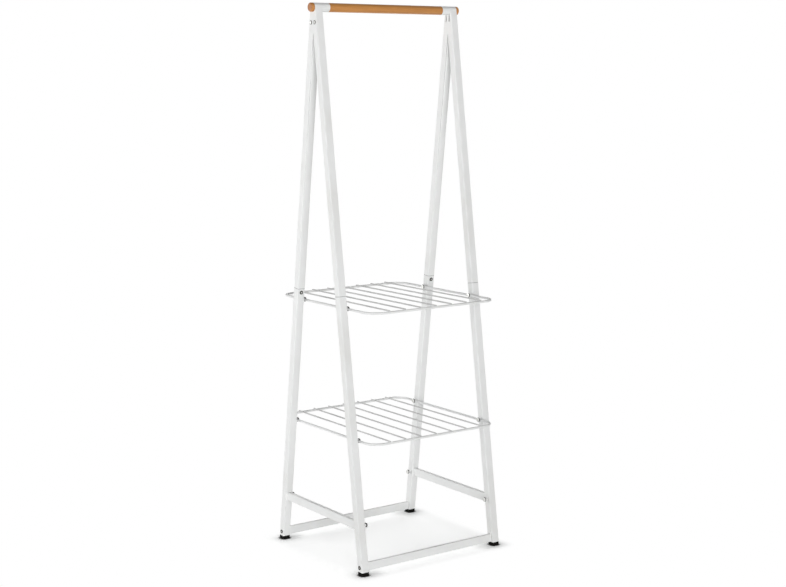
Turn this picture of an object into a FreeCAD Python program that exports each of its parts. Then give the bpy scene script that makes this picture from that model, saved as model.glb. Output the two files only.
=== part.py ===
import FreeCAD, Part
import os
from math import atan, cos, degrees, sin, sqrt, tan

# Free-standing clothes rack: two leaning pairs of legs, a wooden rod and two wire shelves.
# Millimetres. X runs along the rod, -Y is the front, +Z is up, the origin is on the floor
# in the middle of the rack.

# Overall sizes
OVERALL_HEIGHT = 1900.0
LEG_SPACING = 563.0        # left leg axis to right leg axis, along the rod
FOOT_SPREAD = 508.6        # front leg axis to rear leg axis, on the floor
APEX_SPREAD = 4.5          # the same at the height of the rod

# Hanging rod, its end caps and the sleeves that hold them, all flush outside
ROD_DIAMETER = 30.0
TENON_LENGTH = 38.0        # turned-down rod end, inside its sleeve
CAP_LENGTH = 12.0          # past the outer faces of the legs
CAP_ROUNDING = 3.5
SLEEVE_WALL = 1.2
SLEEVE_LENGTH = 60.0
ROD_FIT = 0.3              # radial play of the rod ends and caps in the sleeves

# Legs
LEG_SIZE = 28.0
LEG_WALL = 1.5
LEG_CORNER = 3.0
SEAM_HEIGHT = 931.0
LEG_TOP_DROP = 3.0         # leg tops end this far below the rod axis
COPE_FIT = 0.3             # gap between the sleeve and the hollowed leg tops

# Slots in the inner walls of the upper legs, open towards the sleeve
SLOT_WIDTH = 5.0
SLOT_OFFSET = 8.6          # from the middle plane
SLOT_BOTTOM_DROP = 38.0    # below the rod axis

# Neck of a hub, inside the leg tops
NECK_BOTTOM_DROP = 72.0
NECK_TOP_DROP = 11.0
NECK_WALL = 3.0
NECK_FIT = 0.3
HUB_SCREW_DROP = 49.6
HUB_SCREW_OFFSET = 11.1    # from the middle plane

# Joint tubes across the seam
JOINT_WALL = 1.5
JOINT_FIT = 0.3
JOINT_UP = 60.0
JOINT_DOWN = 33.0
SEAM_SCREW_DROP = 13.0

# Feet
FOOT_HEIGHT = 12.0
FOOT_FIT = 0.3
PLUG_GAP = 2.0             # from the plug to the rail screw above it

# Bottom rails and side crossbars
RAIL_HEIGHT = 30.0
RAIL_THICKNESS = 10.0
RAIL_WALL = 1.2
RAIL_CORNER = 2.5
RAIL_END_PLATE = 4.0
CROSSBAR_AXIS_HEIGHT = 164.5
CROSSBAR_HEIGHT = 30.0
CROSSBAR_THICKNESS = 15.0
CROSSBAR_WALL = 1.5
CROSSBAR_CORNER = 3.0

# Wire shelves
SHELF_HEIGHTS = {"upper": 888.5, "lower": 448.0}
SHELF_DEPTH = 569.4        # front rod axis to rear rod axis
SHELF_ROD = 8.0
SHELF_CORNER = 50.0
WIRE_DIAMETER = 5.0
WIRE_COUNT = 7
WIRE_PITCH = 64.0
WIRE_OVERHANG = 3.0        # wire ends past the axes of the front and rear rods
WELD_DEPTH = 1.0           # how far a wire sinks into the rods that carry it
EYE_DIAMETER = 11.0
EYE_BACK = 1.6             # from the leg to the side rod
EYE_FACE = 0.2             # from the side rod to the collar

# Black collars under the heads of the shelf screws
COLLAR_DIAMETER = 16.0
COLLAR_LENGTH = 2.4

# Flat-headed socket screws
SCREW_DIAMETER = 6.0
SCREW_FIT = 0.3            # radial play of a screw in its hole
HEAD_DIAMETER = 13.0
WIDE_HEAD_DIAMETER = 15.0  # shelf screws
HEAD_HEIGHT = 2.0
SOCKET_WIDTH = 4.0
SOCKET_DEPTH = 3.0
SHELF_SCREW_REACH = 10.0   # into the leg
WALL_SCREW_REACH = 9.0     # hub and seam screws
RAIL_SCREW_REACH = 12.0    # into the rail

# Sizes that follow from those above
SLEEVE_DIAMETER = ROD_DIAMETER
SLEEVE_BORE = SLEEVE_DIAMETER - 2 * SLEEVE_WALL
TENON_DIAMETER = SLEEVE_BORE - 2 * ROD_FIT
ROD_AXIS_HEIGHT = OVERALL_HEIGHT - SLEEVE_DIAMETER / 2
LEG_X = LEG_SPACING / 2
INNER_FACE_X = LEG_X - LEG_SIZE / 2
OUTER_FACE_X = LEG_X + LEG_SIZE / 2
SHOULDER_X = OUTER_FACE_X - SLEEVE_LENGTH
LEG_BORE = LEG_SIZE - 2 * LEG_WALL
BORE_CORNER = LEG_CORNER - LEG_WALL
LEAN = atan((FOOT_SPREAD - APEX_SPREAD) / 2 / ROD_AXIS_HEIGHT)
SEAM_LENGTH = SEAM_HEIGHT / cos(LEAN)
SEAM_SCREW_HEIGHT = SEAM_HEIGHT - SEAM_SCREW_DROP
RAIL_AXIS_HEIGHT = FOOT_HEIGHT + RAIL_HEIGHT / 2
SCREW_HOLE = SCREW_DIAMETER + 2 * SCREW_FIT
EYE_LENGTH = EYE_BACK + SHELF_ROD + EYE_FACE
SHELF_STANDOFF = EYE_BACK + SHELF_ROD / 2
PEG_HEIGHTS = (*SHELF_HEIGHTS.values(), CROSSBAR_AXIS_HEIGHT)
SPARE = LEG_SIZE           # how far a cutting tool runs past what it cuts

SIDES = ("left", "right")
ENDS = ("front", "rear")
ORIGIN = FreeCAD.Vector(0, 0, 0)
ALONG_X = FreeCAD.Vector(1, 0, 0)
ALONG_Y = FreeCAD.Vector(0, 1, 0)
ALONG_Z = FreeCAD.Vector(0, 0, 1)


def axis_y(height):
    """Distance of a leg's axis from the middle plane at a height."""
    return FOOT_SPREAD / 2 - tan(LEAN) * height


def along_leg(height):
    """Distance along a leg's axis from the floor up to a height."""
    return height / cos(LEAN)


def rounded_bar(width, depth, length, corner, start=0.0):
    """Upright bar on the Z axis with round corners, from the level start."""
    bar = Part.makeBox(width, depth, length, FreeCAD.Vector(-width / 2, -depth / 2, start))
    uprights = [edge for edge in bar.Edges if abs(edge.tangentAt(edge.FirstParameter).z) > 0.9]
    return bar.makeFillet(corner, uprights)


def square_tube(width, depth, length, corner, wall, start=0.0):
    """Upright tube with round corners, open at both ends."""
    outside = rounded_bar(width, depth, length, corner, start)
    inside = rounded_bar(width - 2 * wall, depth - 2 * wall, length + 2 * SPARE, corner - wall, start - SPARE)
    return outside.cut(inside)


def layer(low, high):
    """Wide flat block between two heights, for trimming."""
    width = 2 * LEG_SPACING
    depth = 2 * FOOT_SPREAD
    return Part.makeBox(width, depth, high - low, FreeCAD.Vector(-width / 2, -depth / 2, low))


def leaned(shape):
    """Turn a shape drawn round the Z axis into the place of the front left leg."""
    shape.rotate(ORIGIN, ALONG_X, -degrees(LEAN))
    shape.translate(FreeCAD.Vector(-LEG_X, -FOOT_SPREAD / 2, 0))
    return shape


def placed(shape, point, direction):
    """Copy of a shape drawn on +Z, moved to a point and aimed in a direction."""
    copy = shape.copy()
    copy.Placement = FreeCAD.Placement(point, FreeCAD.Rotation(ALONG_Z, direction))
    return copy


def at_corner(shape, side, end):
    """Mirror a shape of the front left corner to any corner of the rack."""
    if end == "rear":
        shape = shape.mirror(ORIGIN, ALONG_Y)
    if side == "right":
        shape = shape.mirror(ORIGIN, ALONG_X)
    return shape


def at_all_corners(shape):
    """Group of four like solids, one at each corner."""
    return Part.makeCompound([at_corner(shape, side, end) for side in SIDES for end in ENDS])


def screw_hole(point, direction, length):
    """Round cutting tool for a screw, starting at a point."""
    return Part.makeCylinder(SCREW_HOLE / 2, length, point, direction)


def inner_point(height, inward=0.0):
    """Point on the inner face of the front left leg, or further into the rack."""
    return FreeCAD.Vector(-INNER_FACE_X + inward, -axis_y(height), height)


def outer_point(y, height):
    """Point on the outer face of the left pair of legs."""
    return FreeCAD.Vector(-OUTER_FACE_X, y, height)


def seam_screw_point():
    """Point on the rearward face of the front left leg, where its seam screw sits."""
    across = FreeCAD.Vector(0, cos(LEAN), -sin(LEAN))
    middle = FreeCAD.Vector(-LEG_X, -axis_y(SEAM_SCREW_HEIGHT), SEAM_SCREW_HEIGHT)
    return middle + across * (LEG_SIZE / 2), across


def solid_leg():
    """Full outline of the front left leg, for trimming what meets it."""
    length = along_leg(ROD_AXIS_HEIGHT) + 2 * SPARE
    return leaned(rounded_bar(LEG_SIZE, LEG_SIZE, length, LEG_CORNER, -SPARE))


def revolved(outline):
    """Solid of revolution about Z from a ring of (radius, height) points."""
    points = [FreeCAD.Vector(radius, 0, height) for radius, height in outline + outline[:1]]
    return Part.Face(Part.makePolygon(points)).revolve(ORIGIN, ALONG_Z, 360)


def ring(diameter, length):
    """Ring on Z from 0 to a length, with a screw hole through it."""
    hole = SCREW_HOLE / 2
    outside = diameter / 2
    return revolved([(hole, 0), (outside, 0), (outside, length), (hole, length)])


def screw(length, head_diameter=HEAD_DIAMETER):
    """Socket screw on Z: its head stands on Z = 0 and its shank goes down."""
    head = head_diameter / 2
    shank = SCREW_DIAMETER / 2
    top = HEAD_HEIGHT
    body = revolved([(0, -length), (shank, -length), (shank, 0), (head, 0), (head, top), (0, top)])
    corner = SOCKET_WIDTH / sqrt(3)
    bottom = top - SOCKET_DEPTH
    hexagon = [FreeCAD.Vector(corner, 0, bottom)]
    for _ in range(6):
        hexagon.append(FreeCAD.Rotation(ALONG_Z, 60).multVec(hexagon[-1]))
    socket = Part.Face(Part.makePolygon(hexagon)).extrude(ALONG_Z * (SOCKET_DEPTH + SPARE))
    return body.cut(socket)


def hanging_rod():
    """Wooden rod between the sleeves, with thinner ends that reach into them."""
    tenon = TENON_DIAMETER / 2
    rod = ROD_DIAMETER / 2
    tip = SHOULDER_X + TENON_LENGTH
    right_half = [(rod, SHOULDER_X), (tenon, SHOULDER_X), (tenon, tip), (0, tip)]
    left_half = [(radius, -x) for radius, x in reversed(right_half)]
    return placed(revolved(left_half + right_half), FreeCAD.Vector(0, 0, ROD_AXIS_HEIGHT), ALONG_X)


def rod_cap():
    """Wooden cap of the left sleeve: a round head outside and a plug that meets the rod's end."""
    head = ROD_DIAMETER / 2
    plug = TENON_DIAMETER / 2
    depth = SLEEVE_LENGTH - TENON_LENGTH
    cap = revolved([(0, -depth), (plug, -depth), (plug, 0), (head, 0), (head, CAP_LENGTH), (0, CAP_LENGTH)])
    rim = [edge for edge in cap.Edges if edge.Closed and edge.BoundBox.ZMin > CAP_LENGTH / 2]
    return placed(cap.makeFillet(CAP_ROUNDING, rim), outer_point(0, ROD_AXIS_HEIGHT), -ALONG_X)


def neck_outline(inset, drop_top):
    """Face of the neck, seen along the rod, drawn inside the walls of the two legs."""
    half_bore = (LEG_BORE / 2 - inset) / cos(LEAN)
    low = ROD_AXIS_HEIGHT - NECK_BOTTOM_DROP
    high = ROD_AXIS_HEIGHT - drop_top
    wide = axis_y(low) + half_bore
    narrow = axis_y(high) + half_bore
    corners = [(-wide, low), (wide, low), (narrow, high), (-narrow, high), (-wide, low)]
    return Part.Face(Part.makePolygon([FreeCAD.Vector(0, y, z) for y, z in corners]))


def hub():
    """Left hub: the rod's sleeve with a hollow neck below it."""
    start = FreeCAD.Vector(-OUTER_FACE_X, 0, ROD_AXIS_HEIGHT)
    sleeve = Part.makeCylinder(SLEEVE_DIAMETER / 2, SLEEVE_LENGTH, start, ALONG_X)
    thickness = LEG_BORE - 2 * NECK_FIT
    neck = neck_outline(NECK_FIT, NECK_TOP_DROP).extrude(ALONG_X * thickness)
    neck.translate(ALONG_X * (-LEG_X - thickness / 2))
    slopes = [edge for edge in neck.Edges if abs(edge.tangentAt(edge.FirstParameter).z) > 0.9]
    neck = neck.makeFillet(BORE_CORNER, slopes)
    pocket_width = thickness - 2 * NECK_WALL
    pocket_top = SLEEVE_DIAMETER / 2 + NECK_WALL
    pocket = neck_outline(NECK_FIT + NECK_WALL, pocket_top).extrude(ALONG_X * pocket_width)
    pocket.translate(ALONG_X * (-LEG_X - pocket_width / 2))
    bore_start = start - ALONG_X * SPARE
    bore = Part.makeCylinder(SLEEVE_BORE / 2, SLEEVE_LENGTH + 2 * SPARE, bore_start, ALONG_X)
    body = sleeve.fuse(neck).removeSplitter().cut(pocket).cut(bore)
    slot = slot_tool().common(layer(0, ROD_AXIS_HEIGHT - pocket_top))
    hole = screw_hole(outer_point(-HUB_SCREW_OFFSET, ROD_AXIS_HEIGHT - HUB_SCREW_DROP), ALONG_X, LEG_SIZE / 2)
    for end in ENDS:
        body = body.cut(at_corner(slot, "left", end)).cut(at_corner(hole, "left", end))
    return body


def slot_tool():
    """Slot through the inner wall of the front left leg and the neck behind it, with a round lower end."""
    bottom = ROD_AXIS_HEIGHT - SLOT_BOTTOM_DROP + SLOT_WIDTH / 2
    depth = LEG_WALL + NECK_FIT + NECK_WALL + LEG_CORNER
    x = -INNER_FACE_X - depth + LEG_CORNER / 2
    corner = FreeCAD.Vector(x, -SLOT_OFFSET - SLOT_WIDTH / 2, bottom)
    slot = Part.makeBox(depth, SLOT_WIDTH, SLOT_BOTTOM_DROP, corner)
    end = Part.makeCylinder(SLOT_WIDTH / 2, depth, FreeCAD.Vector(x, -SLOT_OFFSET, bottom), ALONG_X)
    return slot.fuse(end)


def drilled(piece):
    """Cut the holes for the shelf and crossbar screws into a piece of the front left leg."""
    for height in PEG_HEIGHTS:
        piece = piece.cut(screw_hole(inner_point(height, SPARE), -ALONG_X, SPARE + LEG_SIZE / 2))
    return piece


def upper_leg():
    """Front left upper leg, mitred on the middle plane and hollowed out round the sleeve."""
    length = along_leg(ROD_AXIS_HEIGHT) - SEAM_LENGTH + SPARE
    leg = leaned(square_tube(LEG_SIZE, LEG_SIZE, length, LEG_CORNER, LEG_WALL, SEAM_LENGTH))
    top = ROD_AXIS_HEIGHT - LEG_TOP_DROP
    front_half = Part.makeBox(LEG_SPACING, FOOT_SPREAD, top, FreeCAD.Vector(-LEG_SPACING, -FOOT_SPREAD, 0))
    leg = leg.common(front_half)
    axis_start = FreeCAD.Vector(-LEG_SPACING, 0, ROD_AXIS_HEIGHT)
    cope = Part.makeCylinder(SLEEVE_DIAMETER / 2 + COPE_FIT, LEG_SPACING, axis_start, ALONG_X)
    height = ROD_AXIS_HEIGHT - HUB_SCREW_DROP
    hole = screw_hole(outer_point(-HUB_SCREW_OFFSET, height) - ALONG_X * SPARE, ALONG_X, SPARE + LEG_SIZE / 2)
    return drilled(leg.cut(cope).cut(slot_tool()).cut(hole))


def lower_leg():
    """Front left lower leg, cut level above its foot."""
    leg = leaned(square_tube(LEG_SIZE, LEG_SIZE, SEAM_LENGTH + SPARE, LEG_CORNER, LEG_WALL, -SPARE))
    leg = leg.common(layer(FOOT_HEIGHT, OVERALL_HEIGHT))
    rail_screw = outer_point(-axis_y(RAIL_AXIS_HEIGHT), RAIL_AXIS_HEIGHT)
    leg = leg.cut(screw_hole(rail_screw - ALONG_X * SPARE, ALONG_X, LEG_SIZE + 2 * SPARE))
    point, across = seam_screw_point()
    return drilled(leg.cut(screw_hole(point + across * SPARE, -across, SPARE + LEG_SIZE / 2)))


def joint_tube():
    """Tube inside the front left leg that bridges its seam."""
    size = LEG_BORE - 2 * JOINT_FIT
    length = JOINT_DOWN + JOINT_UP
    corner = JOINT_WALL + BORE_CORNER / 2
    tube = leaned(square_tube(size, size, length, corner, JOINT_WALL, SEAM_LENGTH - JOINT_DOWN))
    point, across = seam_screw_point()
    return drilled(tube.cut(screw_hole(point, -across, LEG_SIZE / 2)))


def foot():
    """Foot of the front left leg: a block as wide as the leg, and a plug inside it."""
    block = leaned(rounded_bar(LEG_SIZE, LEG_SIZE, FOOT_HEIGHT + 2 * SPARE, LEG_CORNER, -SPARE))
    block = block.common(layer(0, FOOT_HEIGHT))
    size = LEG_BORE - 2 * FOOT_FIT
    plug_top = RAIL_AXIS_HEIGHT - SCREW_DIAMETER / 2 - PLUG_GAP
    plug = leaned(rounded_bar(size, size, plug_top + 2 * SPARE, BORE_CORNER, -SPARE))
    return block.fuse(plug.common(layer(FOOT_HEIGHT, plug_top)))


def crossbar():
    """Left crossbar, trimmed to the faces of its two legs."""
    length = 2 * axis_y(CROSSBAR_AXIS_HEIGHT)
    bar = square_tube(CROSSBAR_THICKNESS, CROSSBAR_HEIGHT, length, CROSSBAR_CORNER, CROSSBAR_WALL,
                      -length / 2)
    bar.rotate(ORIGIN, ALONG_X, -90)
    bar.translate(FreeCAD.Vector(-LEG_X, 0, CROSSBAR_AXIS_HEIGHT))
    leg = solid_leg()
    return bar.cut(leg).cut(at_corner(leg, "left", "rear"))


def rail():
    """Front rail between the inner faces of the front legs, closed by end plates."""
    length = 2 * INNER_FACE_X
    hollow_length = length - 2 * RAIL_END_PLATE
    bar = rounded_bar(RAIL_HEIGHT, RAIL_THICKNESS, length, RAIL_CORNER, -length / 2)
    hollow = rounded_bar(RAIL_HEIGHT - 2 * RAIL_WALL, RAIL_THICKNESS - 2 * RAIL_WALL, hollow_length,
                         RAIL_CORNER - RAIL_WALL, -hollow_length / 2)
    bar = bar.cut(hollow)
    bar = bar.cut(screw_hole(-ALONG_Z * length, ALONG_Z, 2 * length))
    bar.rotate(ORIGIN, ALONG_Y, 90)
    bar.translate(FreeCAD.Vector(0, -axis_y(RAIL_AXIS_HEIGHT), RAIL_AXIS_HEIGHT))
    return bar


def shelf_loop(half_width, half_depth, height):
    """Rod bent into a closed rectangle with round corners."""
    straight_x = half_width - SHELF_CORNER
    straight_y = half_depth - SHELF_CORNER
    bend = SHELF_CORNER * sqrt(0.5)
    middle = FreeCAD.Vector(-straight_x - bend, -straight_y - bend, height)
    side_end = FreeCAD.Vector(-half_width, -straight_y, height)
    front_end = FreeCAD.Vector(-straight_x, -half_depth, height)
    side_start = FreeCAD.Vector(-half_width, 0, height)
    front_start = FreeCAD.Vector(0, -half_depth, height)
    path = Part.Wire([
        Part.LineSegment(side_start, side_end).toShape(),
        Part.Arc(side_end, middle, front_end).toShape(),
        Part.LineSegment(front_end, front_start).toShape(),
    ])
    section = Part.Wire(Part.Circle(side_start, ALONG_Y, SHELF_ROD / 2).toShape())
    quarter = path.makePipeShell([section], True, False)
    quarters = [at_corner(quarter, side, end) for side in SIDES for end in ENDS]
    return quarters[0].multiFuse(quarters[1:]).removeSplitter()


def shelf(height):
    """Wire shelf with four eyes that its screws pass through."""
    half_width = INNER_FACE_X - SHELF_STANDOFF
    half_depth = SHELF_DEPTH / 2
    wire_height = height + SHELF_ROD / 2 + WIRE_DIAMETER / 2 - WELD_DEPTH
    wire_length = SHELF_DEPTH + 2 * WIRE_OVERHANG
    pieces = []
    for index in range(WIRE_COUNT):
        x = WIRE_PITCH * (index - (WIRE_COUNT - 1) / 2)
        start = FreeCAD.Vector(x, -wire_length / 2, wire_height)
        pieces.append(Part.makeCylinder(WIRE_DIAMETER / 2, wire_length, start, ALONG_Y))
    eye = Part.makeCylinder(EYE_DIAMETER / 2, EYE_LENGTH, inner_point(height), ALONG_X)
    hole = screw_hole(inner_point(height, -SPARE), ALONG_X, EYE_LENGTH + 2 * SPARE)
    corners = [(side, end) for side in SIDES for end in ENDS]
    pieces += [at_corner(eye, side, end) for side, end in corners]
    body = shelf_loop(half_width, half_depth, height).multiFuse(pieces)
    for side, end in corners:
        body = body.cut(at_corner(hole, side, end))
    return body


def spacer():
    """Ring under the collar of a crossbar screw, the size of a shelf's eye."""
    return placed(ring(EYE_DIAMETER, EYE_LENGTH), inner_point(CROSSBAR_AXIS_HEIGHT), ALONG_X)


def collar(height):
    """Black ring between an eye or spacer and the head of its screw."""
    return placed(ring(COLLAR_DIAMETER, COLLAR_LENGTH), inner_point(height, EYE_LENGTH), ALONG_X)


def shelf_screw(height):
    """Screw through a collar and an eye or spacer into the inner wall of the leg."""
    seat = EYE_LENGTH + COLLAR_LENGTH
    return placed(screw(seat + SHELF_SCREW_REACH, WIDE_HEAD_DIAMETER), inner_point(height, seat), ALONG_X)


def hub_screw():
    """Screw through the outer wall of the front left leg into the neck of the hub."""
    point = outer_point(-HUB_SCREW_OFFSET, ROD_AXIS_HEIGHT - HUB_SCREW_DROP)
    return placed(screw(WALL_SCREW_REACH), point, -ALONG_X)


def seam_screw():
    """Screw through the lower leg into the joint tube."""
    return placed(screw(WALL_SCREW_REACH), *seam_screw_point())


def rail_screw():
    """Screw through both walls of the leg into the end plate of the rail."""
    point = outer_point(-axis_y(RAIL_AXIS_HEIGHT), RAIL_AXIS_HEIGHT)
    return placed(screw(LEG_SIZE + RAIL_SCREW_REACH), point, -ALONG_X)


def build():
    """All nodes of the rack by name."""
    caps = [at_corner(rod_cap(), side, "front") for side in SIDES]
    nodes = {"hanging_rod": hanging_rod(), "rod_caps": Part.makeCompound(caps)}
    corner_pieces = {
        "upper_leg": upper_leg(),
        "lower_leg": lower_leg(),
        "joint_tube": joint_tube(),
        "foot": foot(),
    }
    for side in SIDES:
        nodes[f"{side}_hub"] = at_corner(hub(), side, "front")
        nodes[f"{side}_crossbar"] = at_corner(crossbar(), side, "front")
        for end in ENDS:
            for name, shape in corner_pieces.items():
                nodes[f"{end}_{side}_{name}"] = at_corner(shape, side, end)
    for end in ENDS:
        nodes[f"{end}_rail"] = at_corner(rail(), "left", end)
    for level, height in SHELF_HEIGHTS.items():
        nodes[f"{level}_shelf"] = shelf(height)
        nodes[f"{level}_shelf_collars"] = at_all_corners(collar(height))
        nodes[f"{level}_shelf_screws"] = at_all_corners(shelf_screw(height))
    nodes["crossbar_spacers"] = at_all_corners(spacer())
    nodes["crossbar_collars"] = at_all_corners(collar(CROSSBAR_AXIS_HEIGHT))
    nodes["crossbar_screws"] = at_all_corners(shelf_screw(CROSSBAR_AXIS_HEIGHT))
    nodes["hub_screws"] = at_all_corners(hub_screw())
    nodes["seam_screws"] = at_all_corners(seam_screw())
    nodes["rail_screws"] = at_all_corners(rail_screw())
    return nodes


os.makedirs("parts", exist_ok=True)
for node, shape in build().items():
    shape.exportStep(f"parts/{node}.step")
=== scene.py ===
import math
from functools import wraps

import bmesh
import bpy
from bpy.props import FloatProperty, FloatVectorProperty, IntProperty, PointerProperty
from mathutils import Matrix, Vector
from mathutils.bvhtree import BVHTree


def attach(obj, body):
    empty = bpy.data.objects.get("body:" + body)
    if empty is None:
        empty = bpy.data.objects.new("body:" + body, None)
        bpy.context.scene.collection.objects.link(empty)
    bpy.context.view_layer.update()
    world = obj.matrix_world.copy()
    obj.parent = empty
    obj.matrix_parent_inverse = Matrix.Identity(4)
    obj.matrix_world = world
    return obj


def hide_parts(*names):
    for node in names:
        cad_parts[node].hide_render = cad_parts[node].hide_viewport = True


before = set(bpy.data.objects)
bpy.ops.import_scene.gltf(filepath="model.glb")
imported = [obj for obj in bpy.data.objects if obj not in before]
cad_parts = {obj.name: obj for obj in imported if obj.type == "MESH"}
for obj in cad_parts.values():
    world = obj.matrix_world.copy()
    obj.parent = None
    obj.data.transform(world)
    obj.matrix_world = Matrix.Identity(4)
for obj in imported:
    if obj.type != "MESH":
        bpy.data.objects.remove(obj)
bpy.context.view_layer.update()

bl_info = {
    "name": "Clothes Rack",
    "version": (1, 0, 0),
    "blender": (4, 5, 0),
    "location": "3D View > Sidebar > Rack",
    "description": "Dresses a clothes rack: painted tubes, wooden rod, wire shelves, screws and feet",
    "category": "Object",
}

BODY = "root"
SIDES = (("left", -1), ("right", 1))
ENDS = (("front", -1), ("rear", 1))
LEGS = [f"{end}_{side}" for side, _ in SIDES for end, _ in ENDS]
PEG_LEVELS = ("upper_shelf", "lower_shelf", "crossbar")

# Which parts of a solid count as what, in metres and radians
SAME_POINT = 2e-6
ON_RING = 1e-6
TOUCHING = 1e-5
SEAM_REACH = 0.0025          # an edge this near to a leg seam belongs to it
INSIDE_REACH = 0.06          # a face that looks at another one this near is inside a tube
LONG_EDGE = 0.05             # an edge past this runs along a tube
FLAT_ANGLE = math.radians(1)
SHARP_ANGLE = math.radians(35)
CREASE_ANGLE = math.radians(40)

# Small edges and depths of turned, moulded and cut pieces, in metres
ROD_EDGE = 0.0006
FOOT_EDGE = 0.0006
COLLAR_EDGE = 0.0004
EYE_EDGE = 0.0008
HEAD_EDGE = 0.0003           # below a screw's head
HEAD_SOFTNESS = 0.0007       # on top of it
TIP_CHAMFER = 0.0008
SOCKET_WIDENING = 0.00025    # at the mouth of a socket
SOCKET_MOUTH = 0.0003
SOCKET_DEPTH = 0.0028
SOCKET_POINT = 0.0034        # depth of the drilled point in it
SEAM_SCREW_LENGTH = 0.009
WIRE_BLUNTNESS = 0.35        # length of a wire's rounded end, in wire radii
SOCKET_RIM = 1.55            # radius of the ring round a socket, in half socket widths
# Width of a screw head that is left without painted shade
UNSHADED_HEAD = {"hub_screws": 1.6, "rail_screws": 1.4, "seam_screws": 1.4}  # in socket widths

ROD_SEGMENTS = 96
SMALL_SEGMENTS = 48

COLLAR_SEED = 0
PEG_SCREW_SEED = 10
SPACER_SEED = 20
FRAME_SCREW_SEED = 30
SEAM_SCREW_SEED = 40
CAP_SEED = 50

PORE_COLOUR = (0.20, 0.07, 0.018)
RUBBER_DUST = (0.008, 0.007, 0.006)
PLASTIC_DUST = (0.03, 0.03, 0.03)
ZINC_CLOUD = (0.50, 0.50, 0.49)
# Painted shadow: the floor's own colour goes to this near black where the feet touch it.
PAINTED_CONTACT_SHADOW = (0.01, 0.01, 0.01)

PICTURE_WIDTH = 786
SENSOR_WIDTH = 36.0
FLOOR_HALF = 9.0
FLOOR_DROP = 0.0002          # keeps the floor clear of the feet
HALO_EDGE = 1.2              # where the halo of a foot ends, in reaches
HALO_CORE = 0.02
HALO_ELSEWHERE = 0.25        # depth of the halo away from the feet
LAMP_TARGET = (0, 0, 0.95)
LAMPS = (  # name of the lamp and of its power, place, width and height
    ("left_lamp", "left_light", (-4.43, 2.75, 1.4), (3.3, 2.2)),
    ("front_lamp", "front_light", (-3.65, -9.8, 1.3), (6.6, 4.4)),
    ("rear_lamp", "rear_light", (6.1, 8.2, 1.3), (6.6, 4.4)),
)


def spans(node):
    """Smallest and largest distance of a node's points from the frame's three middle planes."""
    points = [vertex.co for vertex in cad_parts[node].data.vertices]
    return [(min(abs(p[i]) for p in points), max(abs(p[i]) for p in points)) for i in range(3)]


def middle(span):
    return (span[0] + span[1]) / 2


def width(span):
    return span[1] - span[0]


ROD = spans("hanging_rod")
CAP = spans("rod_caps")
SLEEVE = spans("left_hub")
COLLAR = spans("upper_shelf_collars")
SPACER = spans("crossbar_spacers")
PEG_SCREW = spans("upper_shelf_screws")
HUB_SCREW = spans("hub_screws")
LEG = spans("front_left_lower_leg")
LEG_SLOPE = 0.133714         # run of a leg over its rise
SEAM = (spans("front_left_upper_leg")[2][0] + LEG[2][1]) / 2


class RackSizes(bpy.types.PropertyGroup):
    """Sizes of the pieces that are made here; their places come from the solids."""

    cap_rounding: FloatProperty(
        name="Cap rounding", description="Radius of the outer edges of the rod's caps",
        default=0.0035, unit="LENGTH")
    tenon: FloatProperty(
        name="Tenon", description="Thickness of the rod ends and plugs inside the sleeves",
        default=0.027, unit="LENGTH")
    paint_edge: FloatProperty(
        name="Paint edge", description="Rounding that the paint leaves on cut edges",
        default=0.0005, unit="LENGTH")
    seam_edge: FloatProperty(
        name="Seam edge", description="Rounding of the tube ends that meet at a leg seam",
        default=0.0007, unit="LENGTH")
    foot_rounding: FloatProperty(
        name="Foot rounding", description="Rounding of a foot where it meets the floor",
        default=0.002, unit="LENGTH")
    shelf_rod: FloatProperty(
        name="Shelf rod", description="Thickness of the rod round a shelf", default=0.008, unit="LENGTH")
    shelf_corner: FloatProperty(
        name="Shelf corner", description="Bend radius at a shelf's corners", default=0.05, unit="LENGTH")
    wire: FloatProperty(
        name="Wire", description="Thickness of a shelf's wires", default=0.005, unit="LENGTH")
    wire_count: IntProperty(name="Wires", description="Wires across a shelf", default=7, min=1)
    wire_pitch: FloatProperty(
        name="Wire pitch", description="Wire to wire, middle to middle", default=0.064, unit="LENGTH")
    wire_overhang: FloatProperty(
        name="Wire overhang", description="Wire ends past the middle of the rods",
        default=0.003, unit="LENGTH")
    weld_depth: FloatProperty(
        name="Weld depth", description="How far a wire sinks into the rods", default=0.001, unit="LENGTH")
    eye: FloatProperty(
        name="Eye", description="Thickness of the eyes that carry a shelf",
        default=width(SPACER[2]), unit="LENGTH")
    eye_face: FloatProperty(
        name="Eye face", description="From a shelf's side rod to the collar in front of it",
        default=0.0002, unit="LENGTH")
    head: FloatProperty(
        name="Screw head", description="Width of a frame screw's head",
        default=width(HUB_SCREW[2]), unit="LENGTH")
    peg_head: FloatProperty(
        name="Peg head", description="Width of a peg screw's head",
        default=width(PEG_SCREW[2]), unit="LENGTH")
    head_height: FloatProperty(
        name="Head height", description="Height of a screw's head", default=0.002, unit="LENGTH")
    shank: FloatProperty(
        name="Shank", description="Thickness of a screw's shank", default=0.006, unit="LENGTH")
    socket: FloatProperty(
        name="Socket", description="Width across the flats of a screw's socket",
        default=0.004, unit="LENGTH")
    leg: FloatProperty(
        name="Leg", description="Width of a leg tube", default=width(LEG[0]), unit="LENGTH")
    leg_lean: FloatProperty(
        name="Lean", description="Angle of the legs from upright",
        default=math.atan(LEG_SLOPE), subtype="ANGLE")
    seam_screw: FloatProperty(
        name="Seam screw", description="Height of the screws below the leg seams",
        default=0.918, unit="LENGTH")
    foot_spread: FloatProperty(
        name="Foot spread", description="Front foot to rear foot, middle to middle",
        default=0.5086, unit="LENGTH")


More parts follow.
